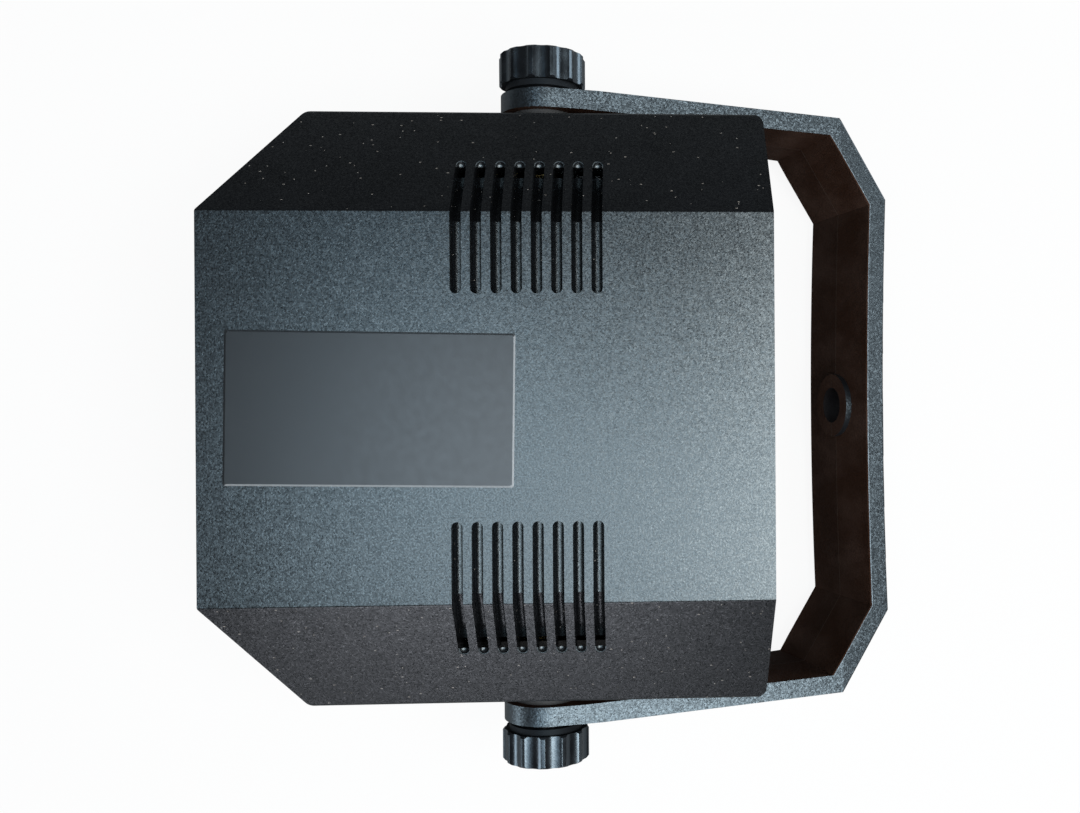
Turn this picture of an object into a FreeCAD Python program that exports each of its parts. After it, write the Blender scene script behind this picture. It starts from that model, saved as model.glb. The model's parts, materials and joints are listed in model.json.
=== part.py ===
import FreeCAD, Part
import math
import os

from FreeCAD import Vector

# All lengths are millimetres. The origin is the middle of the base; X runs across, Y to the rear, Z up.

# Housing: a case in two halves, eight-sided from the front, with its front corners cut off in plan
body_length = 140.0
body_width = 156.0
body_height = 90.0
top_width = 96.0
shoulder_drop = 22.8
corner_cut = 20.0
wall = 2.5
ridge_radius = 0.8
waist_radius = 1.6
rear_corner_radius = 3.0
cheek_corner_radius = 3.2
nose_corner_radius = 1.5
seam_width = 0.5
seam_depth = 0.5

# Vent slots: one row over each shoulder edge, places measured from the middle of the housing. Those in
# the top are grooves with a round floor, a mouth to the inside and a hollowed step at the outer end. Those
# in the base go through.
slot_count = 8
slot_pitch = 4.91
slot_width = 2.75
slot_first_y = -8.0
slot_inner_end = 27.8
slot_outer_end = 62.5
groove_floor_depth = 5.6
groove_floor_thickness = 1.4
groove_hollow_radius = 1.6
vent_mouth = 2.4
vent_step = 1.5
vent_step_drop = 0.3
vent_step_hollow = 0.6

# Clearances
overrun = 6.0
fit_gap = 0.1
running_gap = 0.08
thread_gap = 0.02
axial_gap = 0.3

# End panels, held in grooves in both halves of the case
panel_recess = 3.0
groove_depth = 1.2
front_panel_thickness = 3.0
rear_panel_thickness = 2.5

# Case screws, driven from below into the upper half
case_post_inset = 7.0
case_post_setback = 13.5
case_post_radius = 4.6
case_screw_radius = 1.5
case_screw_length = 18.0
case_head_radius = 2.8
case_head_height = 2.2
case_screw_seat = 8.0
case_recess_radius = 3.2
drive_radius = 1.3
drive_depth = 1.1

# Tilt pivot: brass inserts trapped between the halves, with a raised pad outside
pivot_setback = 10.2
pivot_height = 50.0
pivot_pad_radius = 11.0
pivot_pad_height = 1.5
pivot_barrel_radius = 9.0
pivot_barrel_length = 12.0
insert_radius = 5.5
insert_flange_radius = 7.4
insert_flange_thickness = 2.0
friction_washer_radius = 8.8
friction_washer_thickness = 1.7

# Yoke: a moulded strap with bevelled corners and a hanging hole
strap_thickness = 5.2
crossbar_thickness = 5.7
strap_width = 36.7
strap_end_radius = 11.5
strap_edge_radius = 0.5
strap_draft = 0.5
arm_flat = 12.7
arm_toe_in = 2.8
bend_start = 84.1
crossbar_reach = 99.1
crossbar_width = 121.3
crossbar_bow = 1.2
hanging_hole_radius = 5.25
hanging_boss_radius = 9.6
hanging_boss_height = 1.5
yoke_tilt_degrees = 17.4

# Clamp knobs with their studs and captive washers
stud_radius = 3.0
stud_engagement = 11.0
stud_grip = 8.0
captive_washer_radius = 8.0
captive_washer_thickness = 1.2
collar_radius = 10.2
collar_length = 1.6
knob_radius = 12.0
knob_length = 8.6
knob_edge = 0.5
knob_ridge_radius = 0.3
flute_count = 13
flute_radius = 4.6
flute_depth = 0.85
left_knob_turn_degrees = 10.6
dish_radius = 7.4
dish_depth = 0.9

# Front window
beam_height = 46.0
window_radius = 17.0
bezel_width = 4.5
bezel_height = 1.8
bezel_slope = 1.6
glass_lap = 3.0
glass_thickness = 2.0
gasket_width = 2.2
gasket_thickness = 0.8
retainer_width = 4.0
retainer_lip = 1.5

# Rotating pattern wheel and its drive
gear_module = 0.8
wheel_teeth = 36
pinion_teeth = 12
pressure_degrees = 20.0
tooth_backlash = 0.16
root_clearance_share = 0.3
gear_width = 4.0
gear_setback = 1.7
grating_lap = 2.0
grating_thickness = 0.8
bearing_radius = 8.5
bearing_wall = 2.0
bracket_thickness = 2.4
bracket_margin = 1.8
bracket_foot = 10.0
motor_radius = 7.5
motor_length = 16.0
motor_nose_radius = 2.9
motor_shaft_radius = 1.0
motor_shaft_depth = 6.0
motor_cap_radius = 5.0
motor_cap_length = 2.0

# Optical plate, lasers and beam combiner
plate_side_gap = 2.4
plate_tail = 19.0
plate_thickness = 3.0
plate_height = 10.0
plate_setback = 3.0
plate_post_radius = 3.6
plate_post_gap = 2.3
plate_post_front = 12.0
plate_post_rear = 9.0
plate_screw_radius = 1.5
plate_screw_length = 7.0
plate_head_radius = 2.7
plate_head_height = 1.8
module_radius = 6.0
module_spacing = 22.0
green_length = 44.0
red_length = 34.0
nozzle_radius = 3.5
nozzle_length = 5.0
emitter_radius = 1.5
block_margin = 4.0
block_length = 30.0
module_lead = 4.0
fin_count = 8
fin_height = 10.0
fin_thickness = 1.6
fin_base = 2.5
fold_gap = 7.5
mirror_size = 12.0
mirror_thickness = 1.5
combiner_thickness = 1.0
mount_thickness = 5.0
mount_beam_radius = 4.0
mount_gap = 1.0

# Circuit board, on posts in the lower half
board_width = 30.0
board_length = 76.0
board_thickness = 1.6
board_headroom = 2.4
board_side_gap = 7.5
board_y = 8.0
board_post_radius = 3.0
board_post_inset = 4.0
board_screw_radius = 1.2
board_screw_length = 6.0
board_head_radius = 2.2
board_head_height = 1.5
capacitor_count = 3
capacitor_radius = 5.0
capacitor_height = 14.0
capacitor_pitch = 13.0
capacitor_along_share = 0.68
capacitor_across_share = 0.5
connector_count = 3
connector_length = 9.0
connector_width = 6.0
connector_height = 7.0
connector_pitch = 12.0
connector_wall = 1.0
connector_along_share = 0.36
connector_across_share = 0.84
chip_count = 2
chip_length = 9.0
chip_width = 7.0
chip_height = 1.8
chip_pitch = 14.0
chip_along_share = 0.26
chip_across_share = 0.5
sink_length = 20.0
sink_width = 8.0
sink_height = 11.0
sink_wall = 1.6
sink_along_share = 0.68
sink_across_share = 0.16

# Rear controls, all at one height
control_height = 38.0
jack_along_share = 0.8724832
jack_radius = 5.2
jack_flange_radius = 6.6
jack_flange_thickness = 1.4
jack_depth = 12.0
jack_socket_radius = 3.2
jack_socket_depth = 9.5
jack_pin_radius = 1.0
jack_pin_tail = 3.0
jack_nut_radius = 6.6
jack_nut_thickness = 2.0
led_along_share = 0.4761905
led_radius = 1.5
led_flange_radius = 2.0
led_flange_thickness = 1.0
led_length = 4.0
switch_x = 0.0
switch_slot_length = 8.4
switch_slot_width = 4.0
switch_travel = 2.0
slider_length = 4.0
slider_width = 3.6
slider_height = 2.4
switch_body_length = 14.0
switch_body_width = 8.0
switch_body_depth = 6.0
switch_slide_depth = 2.0
microphone_along_share = 0.2666667
microphone_radius = 3.0
microphone_depth = 4.0
sound_hole_radius = 1.0
dial_along_share = 0.8414239
dial_radius = 7.5
dial_length = 7.0
dial_edge = 0.8
dial_gap = 0.8
dial_rib_count = 18
dial_rib_radius = 0.7
dial_pointer_width = 1.4
dial_pointer_depth = 0.6
pot_body_size = 11.0
pot_body_depth = 6.5
bushing_radius = 3.5
bushing_length = 3.2
pot_shaft_radius = 2.0
pot_shaft_depth = 4.0
pot_shaft_grip = 5.0

# Places that several pieces share
front_y = -body_length / 2
rear_y = body_length / 2
half_width = body_width / 2
half_top = top_width / 2
waist_low = shoulder_drop
waist_high = body_height - shoulder_drop
front_panel_y = front_y + panel_recess
front_panel_back = front_panel_y + front_panel_thickness
rear_panel_y = rear_y - panel_recess
rear_panel_front = rear_panel_y - rear_panel_thickness
panel_seat = wall - groove_depth
step_start = slot_outer_end - vent_step
mouth_start = step_start - vent_mouth
shoulder_fall = shoulder_drop / (half_width - half_top)
step_top = body_height - (slot_outer_end - half_top) * shoulder_fall - vent_step_drop
pad_face = half_width + pivot_pad_height
strap_inside = pad_face + friction_washer_thickness
strap_outside = strap_inside + strap_thickness
knob_start = strap_outside + captive_washer_thickness
insert_end = half_width - wall - pivot_barrel_length
wheel_y = front_panel_back + glass_thickness + gasket_thickness + retainer_lip + gear_setback
bracket_y = wheel_y + gear_width + axial_gap
bracket_back = bracket_y + bracket_thickness
plate_top = plate_height + plate_thickness
bezel_radius = window_radius + bezel_width
glass_radius = window_radius + glass_lap
retainer_radius = glass_radius + retainer_width
grating_radius = bearing_radius + grating_lap
wheel_pitch_radius = gear_module * wheel_teeth / 2
pinion_pitch_radius = gear_module * pinion_teeth / 2
pinion_x = -wheel_pitch_radius - pinion_pitch_radius
bracket_half = wheel_pitch_radius + gear_module + bracket_margin
post_side = half_top - case_post_inset - case_post_radius
plate_half = post_side - plate_side_gap
jack_x = -(post_side - jack_flange_radius) * jack_along_share
dial_x = (post_side - pot_body_size / 2) * dial_along_share
led_near = switch_body_length / 2 - switch_x + led_flange_radius
led_far = -jack_x - jack_flange_radius - led_flange_radius
led_x = -(led_near + (led_far - led_near) * led_along_share)
microphone_near = switch_x + switch_body_length / 2 + microphone_radius
microphone_far = dial_x - pot_body_size / 2 - microphone_radius
microphone_x = microphone_near + (microphone_far - microphone_near) * microphone_along_share
plate_front = front_panel_back + plate_setback
plate_post_x = bracket_half + plate_head_radius + plate_post_gap
mirror_reach = (mirror_size / 2 + mirror_thickness + mount_thickness) * math.sqrt(0.5)
fold_y = bracket_back + bracket_foot + mount_gap + mirror_reach
block_front = fold_y + fold_gap + nozzle_length + module_lead
plate_rear = block_front + block_length + plate_tail
board_height = pivot_height - pivot_barrel_radius - board_headroom - sink_height - board_thickness
board_x = wall + board_side_gap + board_width / 2 - half_width
sides = {"left": -1, "right": 1}

# The case outlines, as corner points
plan_outline = [
    (-half_top, front_y),
    (half_top, front_y),
    (half_width, front_y + corner_cut),
    (half_width, rear_y),
    (-half_width, rear_y),
    (-half_width, front_y + corner_cut),
]
front_outline = [
    (-half_top, 0),
    (half_top, 0),
    (half_width, waist_low),
    (half_width, waist_high),
    (half_top, body_height),
    (-half_top, body_height),
    (-half_width, waist_high),
    (-half_width, waist_low),
]


def inset(points, distances):
    """Corners of a convex outline, listed anticlockwise, with each side moved inwards by its own distance."""
    lines = []
    for i, (x, y) in enumerate(points):
        next_x, next_y = points[(i + 1) % len(points)]
        span = math.hypot(next_x - x, next_y - y)
        along = ((next_x - x) / span, (next_y - y) / span)
        lines.append((x - along[1] * distances[i], y + along[0] * distances[i], along))
    corners = []
    for i, (x, y, along) in enumerate(lines):
        x0, y0, before = lines[i - 1]
        cross = before[0] * along[1] - before[1] * along[0]
        step = ((x - x0) * along[1] - (y - y0) * along[0]) / cross
        corners.append((x0 + before[0] * step, y0 + before[1] * step))
    return corners


def rounded_wire(points, radii):
    """A closed wire through the points with each corner rounded to its radius."""
    turns = []
    for i, corner in enumerate(points):
        before = (points[i - 1] - corner).normalize()
        after = (points[(i + 1) % len(points)] - corner).normalize()
        half = before.getAngle(after) / 2
        middle = (before + after).normalize()
        reach = radii[i] / math.tan(half)
        crown = corner + middle * (radii[i] / math.sin(half) - radii[i])
        turns.append((corner + before * reach, crown, corner + after * reach))
    edges = []
    for i, turn in enumerate(turns):
        edges.append(Part.LineSegment(turns[i - 1][2], turn[0]).toShape())
        if radii[i] > 0:
            edges.append(Part.Arc(*turn).toShape())
    return Part.Wire(edges)


def plan_prism(points, z0, z1, radii=None):
    """An outline in plan, raised from z0 to z1."""
    corners = [Vector(x, y, z0) for x, y in points]
    face = Part.Face(rounded_wire(corners, radii or [0] * len(points)))
    return face.extrude(Vector(0, 0, z1 - z0))


def front_prism(points, y0, y1, radii=None):
    """An outline seen from the front, carried from y0 back to y1."""
    corners = [Vector(x, y0, z) for x, z in points]
    face = Part.Face(rounded_wire(corners, radii or [0] * len(points)))
    return face.extrude(Vector(0, y1 - y0, 0))


def block(x0, x1, y0, y1, z0, z1):
    return Part.makeBox(x1 - x0, y1 - y0, z1 - z0, Vector(x0, y0, z0))


def rod_x(radius, x0, x1, y, z):
    return Part.makeCylinder(radius, x1 - x0, Vector(x0, y, z), Vector(1, 0, 0))


def rod_y(radius, y0, y1, x, z):
    return Part.makeCylinder(radius, y1 - y0, Vector(x, y0, z), Vector(0, 1, 0))


def rod_z(radius, z0, z1, x, y):
    return Part.makeCylinder(radius, z1 - z0, Vector(x, y, z0), Vector(0, 0, 1))


def turned_x(profile, y, z):
    """A solid turned about an X axis from (x, radius) points."""
    points = [Vector(x, y + radius, z) for x, radius in profile]
    face = Part.Face(Part.makePolygon(points + points[:1]))
    return face.revolve(Vector(0, y, z), Vector(1, 0, 0), 360)


def turned_y(profile, x, z):
    """A solid turned about a Y axis from (y, radius) points."""
    points = [Vector(x + radius, y, z) for y, radius in profile]
    face = Part.Face(Part.makePolygon(points + points[:1]))
    return face.revolve(Vector(x, 0, z), Vector(0, 1, 0), 360)


def fused(shapes):
    return shapes[0].multiFuse(shapes[1:]).removeSplitter()


def mirrored(shape):
    return shape.mirror(Vector(0, 0, 0), Vector(1, 0, 0))


def case_envelope():
    corner_radii = [nose_corner_radius, nose_corner_radius, cheek_corner_radius]
    corner_radii += [rear_corner_radius, rear_corner_radius, cheek_corner_radius]
    edge_radii = [ridge_radius, ridge_radius, waist_radius, waist_radius] * 2
    plan = plan_prism(plan_outline, 0, body_height, corner_radii)
    return plan.common(front_prism(front_outline, front_y, rear_y, edge_radii))


def case_cavity():
    """The hollow of the case, open at the front and at the rear."""
    plan = inset(plan_outline, [-overrun, wall, wall, -overrun, wall, wall])
    section = inset(front_outline, [wall] * len(front_outline))
    hollow = front_prism(section, front_y - overrun, rear_y + overrun)
    return plan_prism(plan, -overrun, body_height + overrun).common(hollow)


def front_panel_half_width():
    """Half the front panel's width, set by the cut corners' inner faces at the panel's front."""
    slope = (half_width - half_top) / corner_cut
    sideways = wall * math.hypot(slope, 1)
    return half_top + slope * panel_recess - sideways + groove_depth


def panel_outline(gap):
    return inset(front_outline, [panel_seat + gap] * len(front_outline))


def front_panel_blank(gap):
    half = front_panel_half_width() - gap
    blank = front_prism(panel_outline(gap), front_panel_y, front_panel_back)
    return blank.common(block(-half, half, front_panel_y, front_panel_back, 0, body_height))


def rear_panel_blank(gap):
    return front_prism(panel_outline(gap), rear_panel_front, rear_panel_y)


def vent_slots(z0, z1):
    """The right row of slots, as straight cutters with round ends, each with its place along Y."""
    half = slot_width / 2
    inner = slot_inner_end + half
    outer = slot_outer_end - half
    cutters = []
    for i in range(slot_count):
        y = slot_first_y + i * slot_pitch
        middle = block(inner, outer, y - half, y + half, z0, z1)
        cutters.append((y, fused([middle, rod_z(half, z0, z1, inner, y), rod_z(half, z0, z1, outer, y)])))
    return cutters


def groove_hollows(y, axis):
    """One groove's round bottom, under the top and under the shoulder, and the hollow in its end step."""
    ridge = front_outline.index((half_top, body_height))
    bend_x, bend_z = axis[ridge]
    waist_x, waist_z = axis[ridge - 1]
    bend = Vector(bend_x, y, bend_z)
    along = Vector(waist_x - bend_x, 0, waist_z - bend_z)
    run = along.Length * (mouth_start - bend_x) / (waist_x - bend_x)
    ball_z = step_top + groove_hollow_radius - vent_step_hollow
    return [
        rod_x(groove_hollow_radius, slot_inner_end, bend_x, y, bend_z),
        Part.makeCylinder(groove_hollow_radius, run, bend, along),
        Part.makeSphere(groove_hollow_radius, Vector(slot_outer_end - slot_width / 2, y, ball_z)),
    ]


def vent_grooves():
    """The top slots as cutters that stop at the grooves' floors and end steps, except at the mouths."""
    axis = inset(front_outline, [groove_floor_depth - groove_hollow_radius] * len(front_outline))
    floor = front_prism(axis, front_y, rear_y)
    floor = floor.common(block(0, mouth_start, front_y, rear_y, waist_high, body_height))
    step = block(step_start, half_width, front_y, rear_y, waist_high, step_top)
    right = []
    for y, slot in vent_slots(waist_high, body_height + overrun):
        right.append(slot.cut([floor, step]))
        right += [slot.common(hollow) for hollow in groove_hollows(y, axis)]
    return right + [mirrored(shape) for shape in right]


def groove_floors():
    """A thicker patch inside the skin under each row of grooves."""
    sides_of_case = len(front_outline)
    upper = front_prism(inset(front_outline, [wall / 2] * sides_of_case), front_y, rear_y)
    depth = groove_floor_depth + groove_floor_thickness
    lower = front_prism(inset(front_outline, [depth] * sides_of_case), front_y, rear_y)
    edge = slot_width / 2 + groove_floor_thickness
    y0 = slot_first_y - edge
    y1 = slot_first_y + (slot_count - 1) * slot_pitch + edge
    x0 = slot_inner_end - groove_floor_thickness
    x1 = slot_outer_end + groove_floor_thickness
    right = block(x0, x1, y0, y1, waist_high, body_height).common(upper).cut(lower)
    return [right, mirrored(right)]


def case_post_places():
    x = half_top - case_post_inset
    return [(s * x, t * (rear_y - case_post_setback)) for s in sides.values() for t in (-1, 1)]


def pivot_barrels():
    """Inner barrels and outer pads round the tilt axis, on both sides."""
    right = [
        rod_x(pivot_barrel_radius, insert_end, half_width, pivot_setback, pivot_height),
        rod_x(pivot_pad_radius, half_width - wall, pad_face, pivot_setback, pivot_height),
    ]
    return right + [mirrored(shape) for shape in right]


def insert_holes():
    x0 = insert_end - overrun
    right = rod_x(insert_radius + fit_gap, x0, pad_face + overrun, pivot_setback, pivot_height)
    return [right, mirrored(right)]


def flange_rooms():
    """Room for the inserts' flanges, behind the barrels on both sides."""
    x0 = insert_end - insert_flange_thickness - overrun
    right = rod_x(insert_flange_radius + fit_gap, x0, insert_end, pivot_setback, pivot_height)
    return [right, mirrored(right)]


def half_space(z0, z1):
    reach = half_width + pivot_pad_height + overrun
    return block(-reach, reach, front_y - overrun, rear_y + overrun, z0, z1)


def case_half(envelope, cavity, z0, z1, posts):
    """One half of the case between two heights, with its posts and pivot barrels."""
    skin = envelope.cut(cavity)
    inside_posts = [post.common(envelope) for post in posts]
    whole = fused([skin] + inside_posts + pivot_barrels())
    cuts = insert_holes() + [front_panel_blank(0), rear_panel_blank(0)]
    return whole.cut(cuts).common(half_space(z0, z1))


def upper_shell(envelope, cavity):
    posts = [rod_z(case_post_radius, pivot_height, body_height, x, y) for x, y in case_post_places()]
    floors = [floor.cut(flange_rooms()) for floor in groove_floors()]
    shell = fused([case_half(envelope, cavity, pivot_height, body_height, posts)] + floors)
    seam = half_space(pivot_height, pivot_height + seam_width)
    kept = inset(plan_outline, [seam_depth] * len(plan_outline))
    pads = pivot_barrels()
    seam = seam.cut([plan_prism(kept, 0, body_height)] + pads)
    screw_end = pivot_height - case_screw_seat + case_screw_length
    pilots = [
        rod_z(case_screw_radius + thread_gap, pivot_height - overrun, screw_end, x, y)
        for x, y in case_post_places()
    ]
    return shell.cut([seam] + pilots + vent_grooves())


def plate_post_places():
    front = plate_front + plate_post_front
    rear = plate_rear - plate_post_rear
    return [(s * plate_post_x, y) for s in sides.values() for y in (front, rear)]


def board_post_places():
    x = board_width / 2 - board_post_inset
    y = board_length / 2 - board_post_inset
    return [(board_x + s * x, board_y + t * y) for s in (-1, 1) for t in (-1, 1)]


def lower_shell(envelope, cavity):
    posts = [rod_z(case_post_radius, 0, pivot_height, x, y) for x, y in case_post_places()]
    posts += [rod_z(plate_post_radius, 0, plate_height, x, y) for x, y in plate_post_places()]
    posts += [rod_z(board_post_radius, 0, board_height, x, y) for x, y in board_post_places()]
    shell = case_half(envelope, cavity, 0, pivot_height, posts)
    seat = pivot_height - case_screw_seat
    right_slots = [slot for y, slot in vent_slots(-overrun, waist_low)]
    cuts = right_slots + [mirrored(slot) for slot in right_slots]
    for x, y in case_post_places():
        cuts.append(rod_z(case_recess_radius, -overrun, seat, x, y))
        cuts.append(rod_z(case_screw_radius + fit_gap, 0, pivot_height + overrun, x, y))
    for x, y in plate_post_places():
        depth = plate_screw_length - plate_thickness
        cuts.append(rod_z(plate_screw_radius + thread_gap, plate_height - depth, plate_height, x, y))
    for x, y in board_post_places():
        depth = board_screw_length - board_thickness
        cuts.append(rod_z(board_screw_radius + thread_gap, board_height - depth, board_height, x, y))
    return shell.cut(cuts)


def screws(places, z, up, radius, length, head_radius, head_height):
    """A set of screws whose heads bear at height z, driven upwards or downwards."""
    sign = 1 if up else -1
    made = []
    for x, y in places:
        shank = Part.makeCylinder(radius, length, Vector(x, y, z), Vector(0, 0, sign))
        head = Part.makeCylinder(head_radius, head_height, Vector(x, y, z), Vector(0, 0, -sign))
        socket_start = Vector(x, y, z - sign * (head_height - drive_depth))
        socket = Part.makeCylinder(drive_radius, overrun, socket_start, Vector(0, 0, -sign))
        made.append(fused([shank, head]).cut(socket))
    return Part.makeCompound(made)


def case_screws():
    seat = pivot_height - case_screw_seat
    sizes = (case_screw_radius, case_screw_length, case_head_radius, case_head_height)
    return screws(case_post_places(), seat, True, *sizes)


def plate_screws():
    sizes = (plate_screw_radius, plate_screw_length, plate_head_radius, plate_head_height)
    return screws(plate_post_places(), plate_top, False, *sizes)


def board_screws():
    sizes = (board_screw_radius, board_screw_length, board_head_radius, board_head_height)
    return screws(board_post_places(), board_height + board_thickness, False, *sizes)


def front_panel():
    """The front plate with a raised, sloped ring round the window hole."""
    ring = turned_y(
        [
            (front_panel_back, 0),
            (front_panel_back, bezel_radius),
            (front_panel_y, bezel_radius),
            (front_panel_y - bezel_height, bezel_radius - bezel_slope),
            (front_panel_y - bezel_height, 0),
        ],
        0,
        beam_height,
    )
    hole = turned_y(
        [
            (front_panel_back + overrun, 0),
            (front_panel_back + overrun, window_radius),
            (front_panel_y, window_radius),
            (front_panel_y - bezel_height, window_radius + bezel_slope),
            (front_panel_y - bezel_height - overrun, window_radius + bezel_slope),
            (front_panel_y - bezel_height - overrun, 0),
        ],
        0,
        beam_height,
    )
    return fused([front_panel_blank(fit_gap), ring]).cut(hole)


def window_glass():
    return rod_y(glass_radius, front_panel_back, front_panel_back + glass_thickness, 0, beam_height)


def window_gasket():
    y0 = front_panel_back + glass_thickness
    y1 = y0 + gasket_thickness
    inside = rod_y(glass_radius - gasket_width, y0, y1, 0, beam_height)
    return rod_y(glass_radius, y0, y1, 0, beam_height).cut(inside)


def window_retainer():
    y1 = front_panel_back + glass_thickness + gasket_thickness
    body = rod_y(retainer_radius, front_panel_back, y1 + retainer_lip, 0, beam_height)
    pocket = rod_y(glass_radius + fit_gap, front_panel_back, y1, 0, beam_height)
    opening = rod_y(glass_radius - gasket_width, y1, y1 + retainer_lip, 0, beam_height)
    return body.cut([pocket, opening])


def rear_panel():
    y0 = rear_panel_front - overrun
    y1 = rear_panel_y + overrun
    half_slot = switch_slot_length / 2
    half_high = switch_slot_width / 2
    low = control_height - half_high
    high = control_height + half_high
    holes = [
        rod_y(jack_radius + fit_gap, y0, y1, jack_x, control_height),
        rod_y(led_radius + fit_gap, y0, y1, led_x, control_height),
        rod_y(sound_hole_radius, y0, y1, microphone_x, control_height),
        rod_y(bushing_radius + fit_gap, y0, y1, dial_x, control_height),
        block(switch_x - half_slot, switch_x + half_slot, y0, y1, low, high),
    ]
    return rear_panel_blank(fit_gap).cut(holes)


def pivot_insert(side):
    """A flanged brass bush with the clamp stud's thread in it."""
    profile = [
        (insert_end - insert_flange_thickness, 0),
        (insert_end - insert_flange_thickness, insert_flange_radius),
        (insert_end, insert_flange_radius),
        (insert_end, insert_radius),
        (pad_face, insert_radius),
        (pad_face, 0),
    ]
    bush = turned_x(profile, pivot_setback, pivot_height)
    x0 = insert_end - overrun
    bush = bush.cut(rod_x(stud_radius + running_gap, x0, pad_face + overrun, pivot_setback, pivot_height))
    return bush if side > 0 else mirrored(bush)


def washer(side, radius, x0, x1):
    disc = rod_x(radius, x0, x1, pivot_setback, pivot_height)
    ring = disc.cut(rod_x(stud_radius + running_gap, x0, x1, pivot_setback, pivot_height))
    return ring if side > 0 else mirrored(ring)


def strap_outline():
    """Corner points of the strap's outer face, seen along its width, from the right end to the left."""
    toe = strap_outside - arm_toe_in
    right = [
        (strap_outside, -strap_end_radius),
        (strap_outside, arm_flat),
        (toe, bend_start),
        (crossbar_width / 2, crossbar_reach),
    ]
    return right + [(-x, v) for x, v in reversed(right)]


def bowed_wire(points, bow, z):
    """A closed wire through the points at one height, whose middle side bows towards the pivot."""
    corners = [Vector(x, v, z) for x, v in points]
    edges = []
    for i, corner in enumerate(corners):
        after = corners[(i + 1) % len(corners)]
        if i == len(corners) // 2 - 1:
            crown = (corner + after) / 2 - Vector(0, bow, 0)
            edges.append(Part.Arc(corner, crown, after).toShape())
        else:
            edges.append(Part.LineSegment(corner, after).toShape())
    return Part.Wire(edges)


def strap_side_view():
    """The strap seen from the side: round at the pivot and widening to the crossbar."""
    half = strap_width / 2
    distance = math.hypot(bend_start, half)
    lean = math.atan2(half, bend_start) + math.acos(strap_end_radius / distance)
    touch = Vector(0, strap_end_radius * math.cos(lean), strap_end_radius * math.sin(lean))
    low_touch = Vector(0, touch.y, -touch.z)
    far = crossbar_reach + overrun
    edges = [
        Part.Arc(low_touch, Vector(0, -strap_end_radius, 0), touch).toShape(),
        Part.makePolygon(
            [
                touch,
                Vector(0, bend_start, half),
                Vector(0, far, half),
                Vector(0, far, -half),
                Vector(0, bend_start, -half),
                low_touch,
            ]
        ),
    ]
    face = Part.Face(Part.Wire([edges[0]] + edges[1].Edges))
    return face.extrude(Vector(strap_outside + overrun, 0, 0))


def strap_hollow(height):
    """The space inside the strap from its mould line to one rim, narrowest at the line."""
    outer = strap_outline()
    arm = [strap_thickness]
    bar = [crossbar_thickness] * 3
    at_rim = arm + arm + bar + arm + arm
    at_line = arm + [thickness + strap_draft for thickness in at_rim[1:-1]] + arm
    line = bowed_wire(inset(outer, at_line + [-overrun]), crossbar_bow, 0)
    rim = bowed_wire(inset(outer, at_rim + [-overrun]), crossbar_bow, height)
    sides_round = [Part.Face(line), Part.Face(rim)]
    for low, high in zip(line.Edges, rim.Edges):
        if low.Curve.TypeId == "Part::GeomLine":
            ends = low.Vertexes + high.Vertexes[::-1] + low.Vertexes[:1]
            sides_round.append(Part.Face(Part.makePolygon([end.Point for end in ends])))
        else:
            sides_round.append(Part.makeRuledSurface(low, high))
    shell = Part.Shell(sides_round)
    shell.sewShape()
    return Part.Solid(shell)


def yoke():
    """Built level, with the tilt axis on X, then swung down and moved to the pivot."""
    half = strap_width / 2
    strap = Part.Face(bowed_wire(strap_outline(), crossbar_bow, -half)).extrude(Vector(0, 0, strap_width))
    strap = strap.cut([strap_hollow(half), strap_hollow(-half)])
    side = strap_side_view()
    strap = strap.common(fused([side, mirrored(side)]))
    strap = strap.makeFillet(strap_edge_radius, [edge for edge in strap.Edges if is_rim(edge, half)])
    inner_face = crossbar_reach - crossbar_thickness - strap_draft - crossbar_bow
    boss_start = inner_face - hanging_boss_height
    boss = rod_y(hanging_boss_radius, boss_start, crossbar_reach - crossbar_bow, 0, 0)
    through = rod_y(hanging_hole_radius, inner_face - overrun, crossbar_reach + overrun, 0, 0)
    bearing = rod_x(stud_radius + running_gap, -strap_outside - overrun, strap_outside + overrun, 0, 0)
    pivot_seat = rod_x(strap_end_radius, -strap_inside, strap_inside, 0, 0)
    strap = fused([strap, boss]).cut([through, bearing, pivot_seat])
    strap.rotate(Vector(0, 0, 0), Vector(1, 0, 0), -yoke_tilt_degrees)
    strap.translate(Vector(0, pivot_setback, pivot_height))
    return strap


def is_rim(edge, half):
    """True for the strap's long edges on its two flat rims at the crossbar."""
    low = min(vertex.Z for vertex in edge.Vertexes)
    high = max(vertex.Z for vertex in edge.Vertexes)
    rim = half - strap_edge_radius / 2
    return low > rim or high < -rim


def is_ridge(edge):
    """True for an edge that runs along the knob, where a flute meets the round."""
    along = [vertex.X for vertex in edge.Vertexes]
    return max(along) - min(along) > knob_length / 2


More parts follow.
